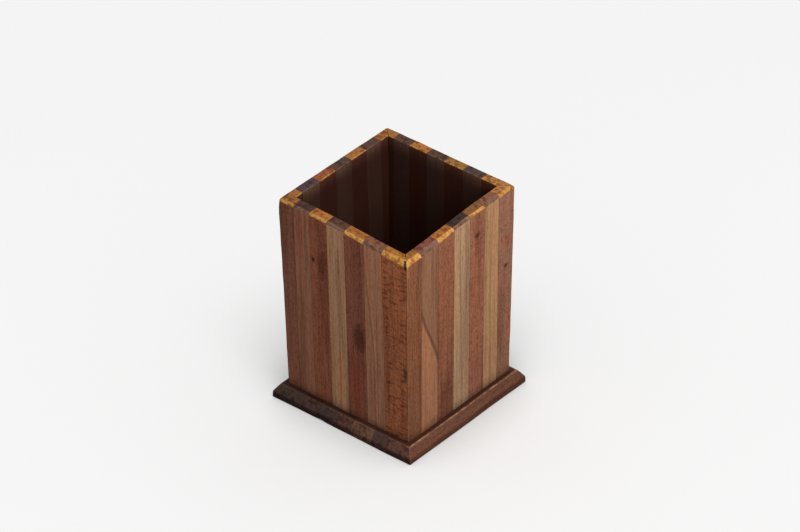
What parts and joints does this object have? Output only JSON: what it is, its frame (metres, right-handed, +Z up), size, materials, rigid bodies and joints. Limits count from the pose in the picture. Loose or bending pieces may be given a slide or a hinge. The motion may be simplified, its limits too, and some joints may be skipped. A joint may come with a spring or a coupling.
{
  "type": "desk organizer",
  "caption": "Square open-topped wooden pen box with striped mitred walls of red and tan hardwood strips, standing on a bevelled striped base plate.",
  "frame": {"origin": "middle of the base plate's underside, on the surface that the organizer stands on", "axes": "+Z up, -Y out of the front wall, +X out of the right wall"},
  "size_m": [0.086, 0.086, 0.1144],
  "materials": {
    "red_hardwood": "sanded and oiled, satin",
    "tan_hardwood": "sanded and oiled, satin",
    "grey_hardwood": "sanded and oiled, satin",
    "brown_hardwood": "sanded and oiled, satin"
  },
  "bodies": {
    "root": {"front_strip_1": "red_hardwood", "front_strip_2": "tan_hardwood", "front_strip_3": "red_hardwood", "front_strip_4": "tan_hardwood", "front_strip_5": "red_hardwood", "front_strip_6": "tan_hardwood", "front_strip_7": "red_hardwood", "right_strip_1": "red_hardwood", "right_strip_2": "tan_hardwood", "right_strip_3": "red_hardwood", "right_strip_4": "tan_hardwood", "right_strip_5": "red_hardwood", "right_strip_6": "tan_hardwood", "right_strip_7": "red_hardwood", "back_strip_1": "red_hardwood", "back_strip_2": "tan_hardwood", "back_strip_3": "red_hardwood", "back_strip_4": "tan_hardwood", "back_strip_5": "red_hardwood", "back_strip_6": "tan_hardwood", "back_strip_7": "red_hardwood", "left_strip_1": "red_hardwood", "left_strip_2": "tan_hardwood", "left_strip_3": "red_hardwood", "left_strip_4": "tan_hardwood", "left_strip_5": "red_hardwood", "left_strip_6": "tan_hardwood", "left_strip_7": "red_hardwood", "base_strip_1": "grey_hardwood", "base_strip_2": "red_hardwood", "base_strip_3": "grey_hardwood", "base_strip_4": "red_hardwood", "base_strip_5": "brown_hardwood", "base_strip_6": "grey_hardwood", "base_strip_7": "red_hardwood"}
  },
  "joints": []
}
